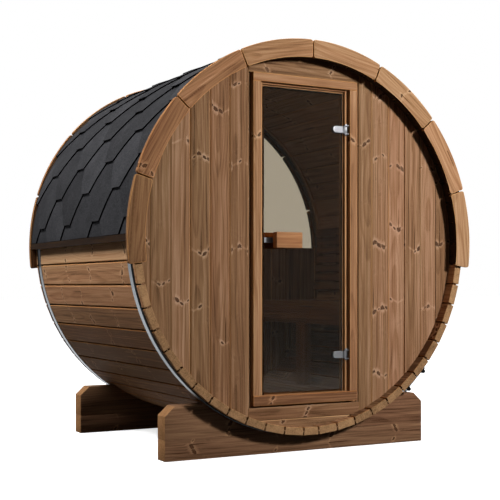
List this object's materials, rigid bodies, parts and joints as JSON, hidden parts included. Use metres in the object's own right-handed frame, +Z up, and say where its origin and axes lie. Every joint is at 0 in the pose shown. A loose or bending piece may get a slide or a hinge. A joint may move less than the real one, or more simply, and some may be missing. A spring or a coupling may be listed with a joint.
{
  "type": "barrel sauna",
  "caption": "Round wooden sauna cabin of staves on two cradles, with a hinged glass door, a half-moon rear window and a shingled upper half.",
  "frame": {"origin": "on the ground under the middle of the barrel, at the bottom centre of the whole object's box", "axes": "+Z up, +X to the right as seen from the front, the door faces -Y and the half-moon window faces +Y"},
  "size_m": [2.142, 1.536, 2.201],
  "materials": {
    "cradle_wood": "sawn heat-treated spruce",
    "stave_wood": "planed heat-treated spruce",
    "arch_wood": "planed heat-treated spruce",
    "wall_wood": "planed knotty heat-treated spruce",
    "frame_wood": "planed heat-treated spruce",
    "casing_wood": "planed heat-treated spruce",
    "handle_wood": "oiled heat-treated wood",
    "bench_wood": "planed heat-treated wood",
    "dark_batten": "dark stained wood",
    "bitumen_shingle": "mineral-granule bitumen, matt",
    "steel_band": "satin stainless steel",
    "satin_steel": "satin stainless steel",
    "rubber_seal": "matt black rubber",
    "bronze_glass": "bronze-tinted toughened glass",
    "window_glass": "bronze-tinted toughened glass"
  },
  "bodies": {
    "sauna": {"cradle_front": "cradle_wood", "cradle_rear": "cradle_wood", "staves_bottom": "stave_wood", "staves_left_1": "stave_wood", "staves_left_2": "stave_wood", "staves_left_3": "stave_wood", "staves_left_4": "stave_wood", "staves_right_1": "stave_wood", "staves_right_2": "stave_wood", "staves_right_3": "stave_wood", "staves_right_4": "stave_wood", "stave_closing": "stave_wood", "arch_front_left": "arch_wood", "arch_front_right": "arch_wood", "arch_rear_left": "arch_wood", "arch_rear_right": "arch_wood", "roof_left": "bitumen_shingle", "roof_right": "bitumen_shingle", "roof_battens": "dark_batten", "bands": "steel_band", "tensioners": "steel_band", "front_wall_left": "wall_wood", "front_wall_right": "wall_wood", "front_wall_head": "wall_wood", "front_wall_sill": "wall_wood", "door_post_left": "frame_wood", "door_post_right": "frame_wood", "door_head": "frame_wood", "door_threshold": "frame_wood", "door_casing": "casing_wood", "door_seal": "rubber_seal", "hinge_leaves": "satin_steel", "rear_wall": "wall_wood", "rear_window_glass": "window_glass", "rear_window_beads": "frame_wood", "floor": "bench_wood", "bench_seat": "bench_wood", "bench_fascia": "bench_wood", "bench_leg": "bench_wood", "backrest": "bench_wood"},
    "door": {"door_glass": "bronze_glass", "hinge_clamps": "satin_steel", "handle_outer": "handle_wood", "handle_inner": "handle_wood", "handle_plate": "satin_steel"}
  },
  "joints": [
    {"name": "door_swing", "type": "hinge", "parent": "sauna", "child": "door", "pos_m": [0.254, -0.689, 0.516], "axis": [0, 0, 1], "range_deg": [0, 100]}
  ]
}
